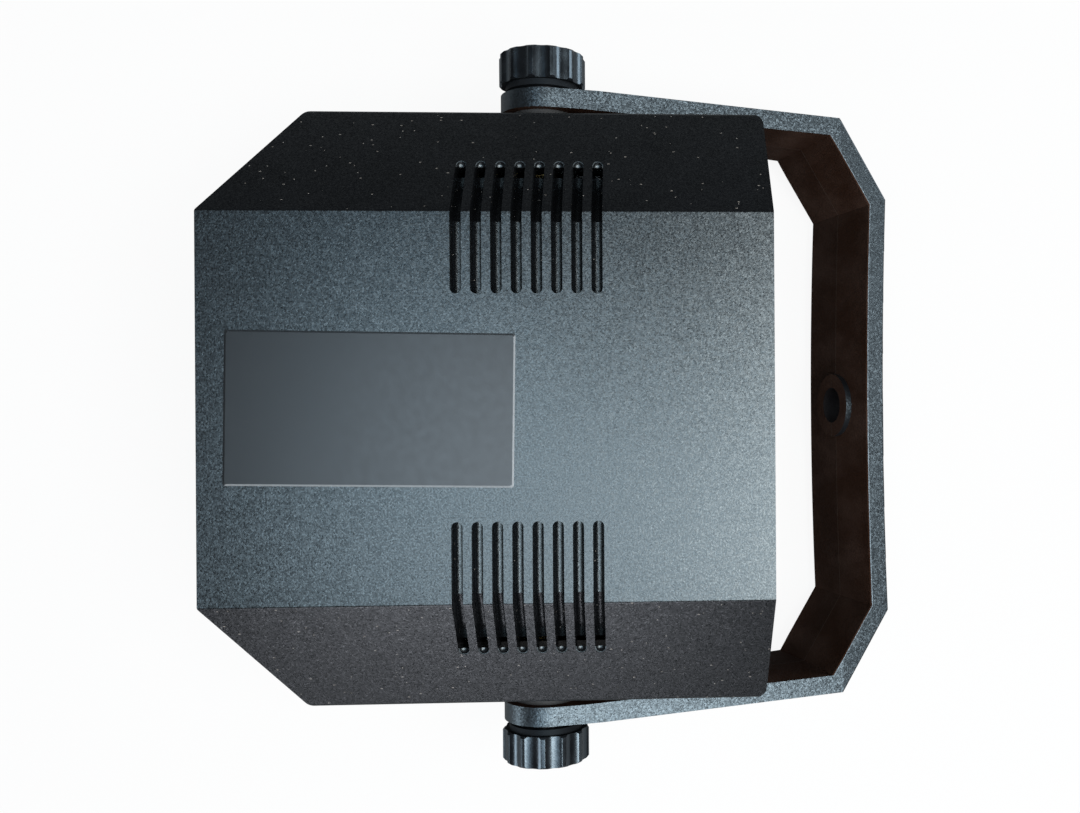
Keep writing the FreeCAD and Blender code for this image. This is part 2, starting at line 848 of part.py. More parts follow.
def clamp_knob(side):
    """A hand knob with hollow flutes between narrow ridges, on a collar, with a shallow dish in its end."""
    x0 = knob_start + collar_length
    x1 = x0 + knob_length
    profile = [
        (knob_start, 0),
        (knob_start, collar_radius),
        (x0, collar_radius),
        (x0, knob_radius - knob_edge),
        (x0 + knob_edge, knob_radius),
        (x1 - knob_edge, knob_radius),
        (x1, knob_radius - knob_edge),
        (x1, dish_radius),
        (x1 - dish_depth, dish_radius - dish_depth),
        (x1 - dish_depth, 0),
    ]
    envelope = turned_x(profile, pivot_setback, pivot_height)
    reach = knob_radius + flute_radius - flute_depth
    flutes = []
    for i in range(flute_count):
        angle = 2 * math.pi * (i + 1 / 2) / flute_count
        y = pivot_setback + reach * math.sin(angle)
        z = pivot_height + reach * math.cos(angle)
        flutes.append(rod_x(flute_radius, x0, x1, y, z))
    grip = rod_x(knob_radius, x0, x1, pivot_setback, pivot_height).cut(flutes)
    ridges = [edge for edge in grip.Edges if is_ridge(edge)]
    grip = grip.makeFillet(knob_ridge_radius, ridges)
    collar = rod_x(collar_radius, knob_start, x0, pivot_setback, pivot_height)
    knob = fused([grip, collar]).common(envelope)
    knob = knob.cut(rod_x(stud_radius, knob_start, knob_start + stud_grip, pivot_setback, pivot_height))
    if side > 0:
        return knob
    knob = mirrored(knob)
    knob.rotate(Vector(0, pivot_setback, pivot_height), Vector(1, 0, 0), left_knob_turn_degrees)
    return knob


def knob_stud(side):
    x0 = pad_face - stud_engagement
    stud = rod_x(stud_radius, x0, knob_start + stud_grip, pivot_setback, pivot_height)
    return stud if side > 0 else mirrored(stud)


def involute(angle):
    return math.tan(angle) - angle


def gear_blank(teeth, first_degrees, y0, y1, x, z):
    """A spur gear about a Y axis. One tooth points along first_degrees, measured from X towards Z."""
    pitch = gear_module * teeth / 2
    tip = pitch + gear_module
    root = pitch - gear_module * (1 + root_clearance_share)
    pressure = math.radians(pressure_degrees)
    base = pitch * math.cos(pressure)
    flank_start = max(base, root)
    half_at_pitch = math.pi / (2 * teeth) - tooth_backlash / (2 * pitch)

    def half_angle(radius):
        slope = math.acos(min(1, base / radius))
        return half_at_pitch + involute(pressure) - involute(slope)

    def at(radius, angle):
        return Vector(x + radius * math.cos(angle), y0, z + radius * math.sin(angle))

    middle = (flank_start + tip) / 2
    step = 2 * math.pi / teeth
    edges = []
    for i in range(teeth):
        centre = math.radians(first_degrees) + i * step
        rising = [at(r, centre - half_angle(r)) for r in (flank_start, middle, tip)]
        falling = [at(r, centre + half_angle(r)) for r in (tip, middle, flank_start)]
        foot_in = at(root, centre - half_angle(flank_start))
        foot_out = at(root, centre + half_angle(flank_start))
        next_foot = at(root, centre + step - half_angle(flank_start))
        if flank_start > root:
            edges.append(Part.LineSegment(foot_in, rising[0]).toShape())
        edges.append(Part.Arc(*rising).toShape())
        edges.append(Part.Arc(rising[2], at(tip, centre), falling[0]).toShape())
        edges.append(Part.Arc(*falling).toShape())
        if flank_start > root:
            edges.append(Part.LineSegment(falling[2], foot_out).toShape())
        edges.append(Part.Arc(foot_out, at(root, centre + step / 2), next_foot).toShape())
    return Part.Face(Part.Wire(edges)).extrude(Vector(0, y1 - y0, 0))


def grating_gear():
    """The toothed wheel that carries the pattern disc, open in the middle for the beam."""
    towards_pinion = 180
    wheel = gear_blank(wheel_teeth, towards_pinion, wheel_y, wheel_y + gear_width, 0, beam_height)
    seat = rod_y(grating_radius + thread_gap, wheel_y, wheel_y + grating_thickness, 0, beam_height)
    bore = rod_y(bearing_radius + running_gap, wheel_y, wheel_y + gear_width, 0, beam_height)
    return wheel.cut([seat, bore])


def grating_disc():
    return rod_y(grating_radius, wheel_y, wheel_y + grating_thickness, 0, beam_height)


def motor_pinion():
    half_tooth = 180 / pinion_teeth
    y1 = wheel_y + gear_width
    pinion = gear_blank(pinion_teeth, half_tooth, wheel_y, y1, pinion_x, beam_height)
    return pinion.cut(rod_y(motor_shaft_radius, wheel_y, y1, pinion_x, beam_height))


def motor_shaft():
    return rod_y(motor_shaft_radius, wheel_y, bracket_y + motor_shaft_depth, pinion_x, beam_height)


def grating_bracket():
    """An angle plate with the wheel's bearing on its face and a hole for the motor's nose."""
    bearing_end = wheel_y + grating_thickness + axial_gap
    half = bracket_half
    upright = block(-half, half, bracket_y, bracket_back, plate_top, beam_height + half)
    foot_end = bracket_back + bracket_foot
    foot = block(-half, half, bracket_y, foot_end, plate_top, plate_top + bracket_thickness)
    ear = rod_y(motor_radius + bracket_margin, bracket_y, bracket_back, pinion_x, beam_height)
    bearing = rod_y(bearing_radius, bearing_end, bracket_y, 0, beam_height)
    beam = rod_y(bearing_radius - bearing_wall, bearing_end, bracket_back, 0, beam_height)
    nose = rod_y(motor_nose_radius + fit_gap, bracket_y, bracket_back, pinion_x, beam_height)
    return fused([upright, foot, ear, bearing]).cut([beam, nose])


def grating_motor():
    can_end = bracket_back + motor_length
    shaft_end = bracket_y + motor_shaft_depth
    can = rod_y(motor_radius, bracket_back, can_end, pinion_x, beam_height)
    nose = rod_y(motor_nose_radius, bracket_y, bracket_back, pinion_x, beam_height)
    cap = rod_y(motor_cap_radius, can_end, can_end + motor_cap_length, pinion_x, beam_height)
    bearing = rod_y(motor_shaft_radius + running_gap, bracket_y, shaft_end, pinion_x, beam_height)
    return fused([can, nose, cap]).cut(bearing)


def optical_plate():
    plate = block(-plate_half, plate_half, plate_front, plate_rear, plate_height, plate_top)
    holes = [
        rod_z(plate_screw_radius + fit_gap, plate_height, plate_top, x, y) for x, y in plate_post_places()
    ]
    return plate.cut(holes)


def laser_block():
    """The block that holds both lasers on the plate and draws their heat."""
    reach = module_radius + block_margin
    y0 = block_front
    body = block(-reach, module_spacing + reach, y0, y0 + block_length, plate_top, beam_height + reach)
    bores = [
        rod_y(module_radius + thread_gap, y0, y0 + block_length, x, beam_height) for x in (0, module_spacing)
    ]
    return body.cut(bores)


def heat_sink():
    """A finned plate on top of the laser block, drawn as one comb and carried along the block."""
    reach = module_radius + block_margin
    z0 = beam_height + reach
    y0 = block_front
    width = module_spacing + 2 * reach
    pitch = (width - fin_thickness) / (fin_count - 1)
    base = block(-reach, width - reach, y0, y0 + block_length, z0, z0 + fin_base)
    fins = []
    for i in range(fin_count):
        x = -reach + i * pitch
        fins.append(block(x, x + fin_thickness, y0, y0 + block_length, z0, z0 + fin_base + fin_height))
    return fused([base] + fins)


def laser_module(x, length):
    y0 = block_front - module_lead
    barrel = rod_y(module_radius, y0, y0 + length, x, beam_height)
    nozzle = rod_y(nozzle_radius, y0 - nozzle_length, y0, x, beam_height)
    mouth = rod_y(emitter_radius, y0 - nozzle_length, y0, x, beam_height)
    return fused([barrel, nozzle]).cut(mouth)


def slanted_plate(x, thickness, start, z0, z1):
    """An upright plate turned by 45 degrees. Its front face stands start behind the fold point at x."""
    half = mirror_size / 2
    plate = block(-half, half, start, start + thickness, z0, z1)
    plate.rotate(Vector(0, 0, 0), Vector(0, 0, 1), 45)
    plate.translate(Vector(x, fold_y, 0))
    return plate


def fold_mirror():
    half = mirror_size / 2
    z0 = beam_height - half
    return slanted_plate(module_spacing, mirror_thickness, -mirror_thickness, z0, z0 + mirror_size)


def mirror_mount():
    half = mirror_size / 2
    start = -mirror_thickness - mount_thickness
    return slanted_plate(module_spacing, mount_thickness, start, plate_top, beam_height + half)


def beam_combiner():
    half = mirror_size / 2
    z0 = beam_height - half
    return slanted_plate(0, combiner_thickness, 0, z0, z0 + mirror_size)


def combiner_mount():
    """A post behind the combiner glass, bored along both beams."""
    half = mirror_size / 2
    post = slanted_plate(0, mount_thickness, combiner_thickness, plate_top, beam_height + half)
    reach = mirror_size + mount_thickness
    green_path = rod_y(mount_beam_radius, fold_y - reach, fold_y + reach, 0, beam_height)
    return post.cut(green_path)


def board_corner():
    return board_x - board_width / 2, board_y - board_length / 2


def circuit_board():
    x0, y0 = board_corner()
    top = board_height + board_thickness
    board = block(x0, x0 + board_width, y0, y0 + board_length, board_height, top)
    holes = [rod_z(board_screw_radius + fit_gap, board_height, top, x, y) for x, y in board_post_places()]
    return board.cut(holes)


def board_row(count, pitch, along_share, across_share):
    """Places of a row of parts along the board, centred on a point given as shares of the board's size."""
    x0, y0 = board_corner()
    x = x0 + board_width * across_share
    y = y0 + board_length * along_share
    return [(x, y + (i - (count - 1) / 2) * pitch) for i in range(count)]


def capacitors():
    z0 = board_height + board_thickness
    shares = (capacitor_along_share, capacitor_across_share)
    places = board_row(capacitor_count, capacitor_pitch, *shares)
    return Part.makeCompound([rod_z(capacitor_radius, z0, z0 + capacitor_height, x, y) for x, y in places])


def board_connectors():
    """Open-topped plug sockets along the board's inner edge."""
    z0 = board_height + board_thickness
    shares = (connector_along_share, connector_across_share)
    made = []
    for x, y in board_row(connector_count, connector_pitch, *shares):
        half_x = connector_width / 2
        half_y = connector_length / 2
        shell = block(x - half_x, x + half_x, y - half_y, y + half_y, z0, z0 + connector_height)
        in_x = half_x - connector_wall
        in_y = half_y - connector_wall
        well = block(x - in_x, x + in_x, y - in_y, y + in_y, z0 + connector_wall, z0 + connector_height)
        made.append(shell.cut(well))
    return Part.makeCompound(made)


def chips():
    z0 = board_height + board_thickness
    made = []
    for x, y in board_row(chip_count, chip_pitch, chip_along_share, chip_across_share):
        half_x = chip_width / 2
        half_y = chip_length / 2
        made.append(block(x - half_x, x + half_x, y - half_y, y + half_y, z0, z0 + chip_height))
    return Part.makeCompound(made)


def regulator_sink():
    """A folded U of aluminium standing on the board."""
    z0 = board_height + board_thickness
    x, y = board_row(1, 0, sink_along_share, sink_across_share)[0]
    half_x = sink_width / 2
    half_y = sink_length / 2
    solid = block(x - half_x, x + half_x, y - half_y, y + half_y, z0, z0 + sink_height)
    in_x = half_x - sink_wall
    hollow = block(x - in_x, x + in_x, y - half_y, y + half_y, z0 + sink_wall, z0 + sink_height)
    return solid.cut(hollow)


def power_jack():
    """A panel socket with its flange outside, drilled through its floor for the contact pin."""
    face = rear_panel_y + jack_flange_thickness
    back = rear_panel_front - jack_depth
    flange = rod_y(jack_flange_radius, rear_panel_y, face, jack_x, control_height)
    barrel = rod_y(jack_radius, back, face, jack_x, control_height)
    socket = rod_y(jack_socket_radius, face - jack_socket_depth, face, jack_x, control_height)
    pin_hole = rod_y(jack_pin_radius + thread_gap, back, face, jack_x, control_height)
    return fused([flange, barrel]).cut([socket, pin_hole])


def jack_pin():
    """The contact pin, a little short of the socket's mouth and out at the back as a solder tail."""
    tail = rear_panel_front - jack_depth - jack_pin_tail
    return rod_y(jack_pin_radius, tail, rear_panel_y, jack_x, control_height)


def jack_nut():
    y0 = rear_panel_front - jack_nut_thickness
    corners = []
    for i in range(6):
        angle = math.radians(60 * i)
        x = jack_x + jack_nut_radius * math.cos(angle)
        z = control_height + jack_nut_radius * math.sin(angle)
        corners.append((x, z))
    nut = front_prism(corners, y0, rear_panel_front)
    return nut.cut(rod_y(jack_radius + thread_gap, y0, rear_panel_front, jack_x, control_height))


def power_led():
    tip = rear_panel_y + led_radius / 2
    body = rod_y(led_radius, rear_panel_front - led_length, tip, led_x, control_height)
    dome = Part.makeSphere(led_radius, Vector(led_x, tip, control_height))
    flange_start = rear_panel_front - led_flange_thickness
    flange = rod_y(led_flange_radius, flange_start, rear_panel_front, led_x, control_height)
    return fused([body, dome, flange])


def microphone():
    y0 = rear_panel_front - microphone_depth
    capsule = rod_y(microphone_radius, y0, rear_panel_front, microphone_x, control_height)
    middle = rear_panel_front - microphone_depth / 2
    mouth = rod_y(sound_hole_radius, middle, rear_panel_front, microphone_x, control_height)
    return capsule.cut(mouth)


def mode_switch():
    """The switch's body behind the panel, with the channel that its slider runs in."""
    half = switch_body_length / 2
    half_high = switch_body_width / 2
    y0 = rear_panel_front - switch_body_depth
    low = control_height - half_high
    body = block(switch_x - half, switch_x + half, y0, rear_panel_front, low, low + switch_body_width)
    run = slider_length / 2 + switch_travel + fit_gap
    high = slider_width / 2 + fit_gap
    channel_floor = rear_panel_front - switch_slide_depth - fit_gap
    z0 = control_height - high
    channel = block(switch_x - run, switch_x + run, channel_floor, rear_panel_front, z0, z0 + 2 * high)
    return body.cut(channel)


def mode_slider():
    half = slider_length / 2
    half_high = slider_width / 2
    y0 = rear_panel_front - switch_slide_depth
    y1 = rear_panel_y + slider_height
    z0 = control_height - half_high
    return block(switch_x - half, switch_x + half, y0, y1, z0, z0 + slider_width)


def sensitivity_control():
    """A rotary control behind the panel, with its threaded bush through it."""
    half = pot_body_size / 2
    y0 = rear_panel_front - pot_body_depth
    z0 = control_height - half
    body = block(dial_x - half, dial_x + half, y0, rear_panel_front, z0, z0 + pot_body_size)
    bush_end = rear_panel_front + bushing_length
    bush = rod_y(bushing_radius, rear_panel_front, bush_end, dial_x, control_height)
    bore_end = rear_panel_front - pot_shaft_depth
    bore = rod_y(pot_shaft_radius + running_gap, bore_end, bush_end, dial_x, control_height)
    return fused([body, bush]).cut(bore)


def dial_start():
    return max(rear_panel_y, rear_panel_front + bushing_length) + dial_gap


def sensitivity_shaft():
    y1 = dial_start() + pot_shaft_grip
    return rod_y(pot_shaft_radius, rear_panel_front - pot_shaft_depth, y1, dial_x, control_height)


def sensitivity_dial():
    """A small ribbed dial with a pointer groove across its face."""
    y0 = dial_start()
    y1 = y0 + dial_length
    profile = [
        (y0, 0),
        (y0, dial_radius),
        (y1 - dial_edge, dial_radius - dial_edge / 2),
        (y1, dial_radius - dial_edge - dial_edge / 2),
        (y1, 0),
    ]
    dial = turned_y(profile, dial_x, control_height)
    cuts = [rod_y(pot_shaft_radius, y0, y0 + pot_shaft_grip, dial_x, control_height)]
    for i in range(dial_rib_count):
        angle = 2 * math.pi * i / dial_rib_count
        x = dial_x + dial_radius * math.cos(angle)
        z = control_height + dial_radius * math.sin(angle)
        cuts.append(rod_y(dial_rib_radius, y0, y1, x, z))
    half = dial_pointer_width / 2
    top = control_height + dial_radius
    cuts.append(block(dial_x - half, dial_x + half, y1 - dial_pointer_depth, y1, control_height, top))
    return dial.cut(cuts)


def build():
    envelope = case_envelope()
    cavity = case_cavity()
    nodes = {
        "upper_shell": upper_shell(envelope, cavity),
        "lower_shell": lower_shell(envelope, cavity),
        "front_panel": front_panel(),
        "rear_panel": rear_panel(),
        "window_glass": window_glass(),
        "window_gasket": window_gasket(),
        "window_retainer": window_retainer(),
        "case_screws": case_screws(),
        "yoke": yoke(),
        "grating_gear": grating_gear(),
        "grating_disc": grating_disc(),
        "grating_bracket": grating_bracket(),
        "grating_motor": grating_motor(),
        "motor_pinion": motor_pinion(),
        "motor_shaft": motor_shaft(),
        "optical_plate": optical_plate(),
        "plate_screws": plate_screws(),
        "laser_block": laser_block(),
        "heat_sink": heat_sink(),
        "green_laser": laser_module(0, green_length),
        "red_laser": laser_module(module_spacing, red_length),
        "fold_mirror": fold_mirror(),
        "mirror_mount": mirror_mount(),
        "beam_combiner": beam_combiner(),
        "combiner_mount": combiner_mount(),
        "circuit_board": circuit_board(),
        "board_screws": board_screws(),
        "capacitors": capacitors(),
        "board_connectors": board_connectors(),
        "chips": chips(),
        "regulator_sink": regulator_sink(),
        "power_jack": power_jack(),
        "jack_pin": jack_pin(),
        "jack_nut": jack_nut(),
        "power_led": power_led(),
        "microphone": microphone(),
        "mode_switch": mode_switch(),
        "mode_slider": mode_slider(),
        "sensitivity_control": sensitivity_control(),
        "sensitivity_shaft": sensitivity_shaft(),
        "sensitivity_dial": sensitivity_dial(),
    }
    for name, side in sides.items():
        nodes["pivot_insert_" + name] = pivot_insert(side)
        nodes["friction_washer_" + name] = washer(side, friction_washer_radius, pad_face, strap_inside)
        nodes["captive_washer_" + name] = washer(side, captive_washer_radius, strap_outside, knob_start)
        nodes["clamp_knob_" + name] = clamp_knob(side)
        nodes["knob_stud_" + name] = knob_stud(side)
    return nodes


os.makedirs("parts", exist_ok=True)
for node, shape in build().items():
    shape.exportStep("parts/" + node + ".step")
    print(node, len(shape.Solids), round(shape.Volume), shape.isValid())
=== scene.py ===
import json
import math

import bpy
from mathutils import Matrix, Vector


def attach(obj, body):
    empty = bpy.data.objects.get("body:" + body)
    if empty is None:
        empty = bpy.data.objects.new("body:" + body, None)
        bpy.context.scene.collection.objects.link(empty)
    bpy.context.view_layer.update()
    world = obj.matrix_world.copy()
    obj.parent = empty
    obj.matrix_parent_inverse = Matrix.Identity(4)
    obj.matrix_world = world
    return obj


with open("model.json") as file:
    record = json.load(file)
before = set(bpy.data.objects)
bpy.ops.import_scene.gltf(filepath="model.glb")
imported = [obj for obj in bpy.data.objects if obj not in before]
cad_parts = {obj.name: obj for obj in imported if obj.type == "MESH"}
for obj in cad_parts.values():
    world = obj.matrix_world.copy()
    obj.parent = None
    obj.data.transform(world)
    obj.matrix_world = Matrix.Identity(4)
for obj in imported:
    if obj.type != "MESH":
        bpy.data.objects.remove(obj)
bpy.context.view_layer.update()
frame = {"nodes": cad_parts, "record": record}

MM = 0.001

# Places on the solids that the materials and the added pieces follow, in millimetres
CASE_TOP = 90.0
REAR_PANEL = 67.0
PIVOT = (0.0, 10.2, 50.0)
COLLAR_MIDDLE = 88.4
COLLAR_LENGTH = 1.65
YOKE_TILT = 17.4
HANGING_HOLE = 5.4
PARTING_LINE = 0.12

# The bare label film on the top
FILM_MIDDLE = (0.2, -28.65)
FILM_SIZE = (37.6, 69.6)
FILM_TURN = -0.95
FILM_THICKNESS = 0.05
FILM_CORNER = 0.6
FILM_EDGE = 0.45

# Tick marks round the sensitivity dial
DIAL_MIDDLE = (26.0, 38.0)
TICK_RING = 9.6
TICK_SIZE = (0.6, 1.8)
TICK_HEIGHT = 0.12
TICK_COUNT = 11
TICK_SWEEP = 300.0
TICK_ROUNDING = 0.45

# How bright the room is to the object, and how bright it looks
ROOM_LIGHT = 0.012
ROOM_SEEN = 0.95

# The floor: how pale it is to the object and to the camera, and how much of it glows
FLOOR_SIZE = 6.0
FLOOR_BOUNCE = 0.22
FLOOR_PALE = 0.90
FLOOR_GLOW_SEEN = 0.91
FLOOR_GLOW_MIRRORED = 0.08

# Where the lamps point, in metres
CASE_MIDDLE = (0.0, 0.0, 0.06)
CASE_LOW = (0.0, 0.0, 0.05)

# The camera that took the photograph, in metres, degrees and millimetres of film
CAMERA_PLACE = (-0.00040, 0.03444, 0.36002)
CAMERA_TURN = (-0.07098, -3.04836, 89.65230)
CAMERA_FILM = 36.0
CAMERA_LENS = 36.667
CAMERA_SHIFT = -0.13839
CAMERA_NEAR = 0.01

# How much rougher a dull place is than the finish round it
DULLER_BY = 0.35


# Materials


def start_material(name):
    """A new material, its node tree, its shader and its Object coordinates."""
    material = bpy.data.materials.new(name)
    material.use_nodes = True
    tree = material.node_tree
    coordinates = tree.nodes.new("ShaderNodeTexCoord")
    return material, tree, tree.nodes["Principled BSDF"], coordinates.outputs["Object"]


def stretched(tree, place, scale):
    """Places scaled along each axis, or as they are where there is no scale."""
    if not scale:
        return place
    mapping = tree.nodes.new("ShaderNodeMapping")
    mapping.inputs["Scale"].default_value = scale
    tree.links.new(place, mapping.inputs["Vector"])
    return mapping.outputs["Vector"]


def grain(tree, place, size, detail=2.0, stretch=None):
    """Cloudy noise whose blotches are about size millimetres across."""
    noise = tree.nodes.new("ShaderNodeTexNoise")
    noise.inputs["Scale"].default_value = 1.0 / (size * MM)
    noise.inputs["Detail"].default_value = detail
    tree.links.new(stretched(tree, place, stretch), noise.inputs["Vector"])
    return noise.outputs["Fac"]


def between(tree, source, low, high, start=0.3, end=0.7):
    """Spreads a texture's values from start to end over low to high."""
    spread = tree.nodes.new("ShaderNodeMapRange")
    spread.inputs["From Min"].default_value = start
    spread.inputs["From Max"].default_value = end
    spread.inputs["To Min"].default_value = low
    spread.inputs["To Max"].default_value = high
    tree.links.new(source, spread.inputs["Value"])
    return spread.outputs["Result"]


def tones(tree, source, dark, light, start=0.3, end=0.7):
    """Colours a texture from dark to light."""
    ramp = tree.nodes.new("ShaderNodeValToRGB")
    ramp.color_ramp.elements[0].position = start
    ramp.color_ramp.elements[0].color = (*dark, 1.0)
    ramp.color_ramp.elements[1].position = end
    ramp.color_ramp.elements[1].color = (*light, 1.0)
    tree.links.new(source, ramp.inputs["Fac"])
    return ramp.outputs["Color"]


def blend(tree, mask, under, over):
    """Puts one colour over another where the mask is one."""
    mix = tree.nodes.new("ShaderNodeMix")
    mix.data_type = "RGBA"
    sockets = [socket for socket in mix.inputs if socket.type == "RGBA"]
    tree.links.new(mask, mix.inputs["Factor"])
    tree.links.new(under, sockets[0])
    feed(tree, sockets[1], (*over, 1.0) if isinstance(over, tuple) else over)
    return [socket for socket in mix.outputs if socket.type == "RGBA"][0]


def relief(tree, height, depth):
    """Bump of the given depth in millimetres."""
    bump = tree.nodes.new("ShaderNodeBump")
    bump.inputs["Strength"].default_value = 1.0
    bump.inputs["Distance"].default_value = depth * MM
    tree.links.new(height, bump.inputs["Height"])
    return bump.outputs["Normal"]


def feed(tree, socket, value):
    """Links a socket to another one, or sets it to a plain value."""
    if isinstance(value, bpy.types.NodeSocket):
        tree.links.new(value, socket)
    else:
        socket.default_value = value


def sum_of(tree, operation, *values):
    """One step of arithmetic on masks and numbers."""
    step = tree.nodes.new("ShaderNodeMath")
    step.operation = operation
    for socket, value in zip(step.inputs, values):
        feed(tree, socket, value)
    return step.outputs["Value"]


def vector_sum(tree, operation, *values):
    """One step of arithmetic on places and directions."""
    step = tree.nodes.new("ShaderNodeVectorMath")
    step.operation = operation
    for socket, value in zip(step.inputs, values):
        feed(tree, socket, value)
    plain = operation in ("LENGTH", "DOT_PRODUCT")
    return step.outputs["Value" if plain else "Vector"]


def parts_of(tree, vector):
    """The three parts of a place or direction, by axis."""
    split = tree.nodes.new("ShaderNodeSeparateXYZ")
    tree.links.new(vector, split.inputs["Vector"])
    return split.outputs


def both(tree, one, other):
    """A mask that is one where two masks are."""
    return sum_of(tree, "MULTIPLY", one, other)


def either(tree, one, other):
    """A mask that is one where either of two masks is."""
    return sum_of(tree, "MAXIMUM", one, other)


def duller(tree, mask, roughness):
    """Roughens a finish where the mask is one."""
    return sum_of(tree, "MULTIPLY_ADD", mask, DULLER_BY, roughness)


def face_direction(tree):
    """The direction that each face looks in, on the piece itself."""
    return tree.nodes["Texture Coordinate"].outputs["Normal"]


def sloped(tree):
    """One on sloping faces, zero on faces that look straight up."""
    return between(tree, parts_of(tree, face_direction(tree))["Z"], 1.0, 0.0, 0.85, 0.95)


def facets(tree, place, size, slope, under):
    """The close-set facets that spark erosion leaves in a mould, each leaning its own way."""
    cells = tree.nodes.new("ShaderNodeTexVoronoi")
    cells.inputs["Scale"].default_value = 1.0 / (size * MM)
    tree.links.new(place, cells.inputs["Vector"])
    centred = vector_sum(tree, "SUBTRACT", cells.outputs["Color"], (0.5, 0.5, 0.5))
    lean = vector_sum(tree, "MULTIPLY_ADD", centred, (slope, slope, slope), under)
    return vector_sum(tree, "NORMALIZE", lean)


def specks(tree, place, spacing, share, radius, stretch=None):
    """A mask of loose dust: one speck in some of the cells of a grid of random points."""
    cells = tree.nodes.new("ShaderNodeTexVoronoi")
    cells.inputs["Scale"].default_value = 1.0 / (spacing * MM)
    tree.links.new(stretched(tree, place, stretch), cells.inputs["Vector"])
    near = sum_of(tree, "LESS_THAN", cells.outputs["Distance"], radius / spacing)
    chance = tree.nodes.new("ShaderNodeSeparateColor")
    tree.links.new(cells.outputs["Color"], chance.inputs["Color"])
    chosen = sum_of(tree, "LESS_THAN", chance.outputs["Red"], share)
    return both(tree, near, chosen)


def shine(shader, level, tint=(0.82, 0.94, 1.0)):
    """Sets how strongly a plastic shines, and the cool tint of its shine."""
    shader.inputs["Specular IOR Level"].default_value = level
    shader.inputs["Specular Tint"].default_value = (*tint, 1.0)


def textured_case():
    """Black moulded plastic with a fine spark-eroded grain and a little dust."""
    material, tree, shader, place = start_material("textured_case")
    broad = grain(tree, place, 9.0, 4.0)
    colour = tones(tree, broad, (0.0050, 0.0053, 0.0062), (0.0072, 0.0076, 0.0090))
    slopes = sloped(tree)
    dust = both(tree, slopes, specks(tree, place, 2.2, 0.45, 0.15))
    dusty = blend(tree, dust, colour, (0.40, 0.37, 0.34))
    lint = both(tree, slopes, specks(tree, place, 1.6, 0.55, 0.13, (1.0, 0.4, 1.0)))
    tree.links.new(blend(tree, lint, dusty, (0.34, 0.31, 0.28)), shader.inputs["Base Color"])
    pebbles = grain(tree, place, 0.45, 1.0)
    tree.links.new(between(tree, pebbles, 0.22, 0.40), shader.inputs["Roughness"])
    rolling = relief(tree, pebbles, 0.022)
    tree.links.new(facets(tree, place, 0.42, 0.080, rolling), shader.inputs["Normal"])
    shine(shader, 1.0)
    return material


def smooth_panel():
    """Black plastic with a finer, flatter grain, for the recessed end panels."""
    material, tree, shader, place = start_material("smooth_panel")
    broad = grain(tree, place, 12.0, 3.0)
    colour = tones(tree, broad, (0.010, 0.010, 0.011), (0.016, 0.016, 0.018))
    tree.links.new(colour, shader.inputs["Base Color"])
    fine = grain(tree, place, 0.5, 2.0)
    tree.links.new(between(tree, fine, 0.48, 0.60), shader.inputs["Roughness"])
    tree.links.new(relief(tree, fine, 0.02), shader.inputs["Normal"])
    shine(shader, 0.5)
    return material


def grained_yoke():
    """Black filled plastic, grained outside and plain on the faces that look at the case, where a brown
    reflection is painted into the colour.
    """
    material, tree, shader, place = start_material("grained_yoke")
    hole, parting = yoke_places(tree, place)
    facing = faces_the_case(tree, place)
    inside = either(tree, facing, hole)
    broad = grain(tree, place, 7.0, 3.0)
    outer = tones(tree, broad, (0.0055, 0.0058, 0.0068), (0.0085, 0.0088, 0.0100))
    # Painted reflection: the faces that look at the case get a blotchy dark brown that stands in for a
    # warm surface reflected in them; the parting line is drawn as a lighter line of the same painted
    # brown.
    painted_reflection_blotches = grain(tree, place, 11.0, 5.0, (1.0, 1.0, 0.5))
    painted_brown_reflection = tones(tree, painted_reflection_blotches, (0.048, 0.0210, 0.0118), (0.090, 0.050, 0.036), 0.42, 0.72)
    seamed = blend(tree, both(tree, facing, parting), painted_brown_reflection, (0.105, 0.072, 0.056))
    faced = blend(tree, facing, outer, seamed)
    tree.links.new(blend(tree, hole, faced, (0.012, 0.010, 0.010)), shader.inputs["Base Color"])
    fine = grain(tree, place, 0.42, 1.0)
    tree.links.new(duller(tree, inside, between(tree, fine, 0.30, 0.46)), shader.inputs["Roughness"])
    rolling = relief(tree, fine, 0.040)
    tree.links.new(facets(tree, place, 0.44, 0.150, rolling), shader.inputs["Normal"])
    shine(shader, 0.9, (0.69, 0.87, 1.0))
    shader.inputs["IOR"].default_value = 1.7
    tree.links.new(between(tree, inside, 0.9, 0.05, 0.0, 1.0), shader.inputs["Specular IOR Level"])
    return material


def yoke_places(tree, place):
    """Masks of the hanging hole's wall and of the parting line along the middle of the yoke."""
    level = tree.nodes.new("ShaderNodeMapping")
    level.vector_type = "TEXTURE"
    level.inputs["Location"].default_value = [value * MM for value in PIVOT]
    level.inputs["Rotation"].default_value = (math.radians(-YOKE_TILT), 0.0, 0.0)
    tree.links.new(place, level.inputs["Vector"])
    across = vector_sum(tree, "MULTIPLY", level.outputs["Vector"], (1.0, 0.0, 1.0))
    hole = sum_of(tree, "LESS_THAN", vector_sum(tree, "LENGTH", across), HANGING_HOLE * MM)
    height = parts_of(tree, level.outputs["Vector"])["Z"]
    return hole, sum_of(tree, "COMPARE", height, 0.0, PARTING_LINE * MM)


def faces_the_case(tree, place):
    """One on the yoke's faces that look at the pivot, zero on its rims and outside."""
    inward = vector_sum(tree, "SUBTRACT", [value * MM for value in PIVOT], place)
    inward = vector_sum(tree, "NORMALIZE", inward)
    facing = vector_sum(tree, "DOT_PRODUCT", inward, face_direction(tree))
    return between(tree, facing, 0.0, 1.0, 0.1, 0.4)


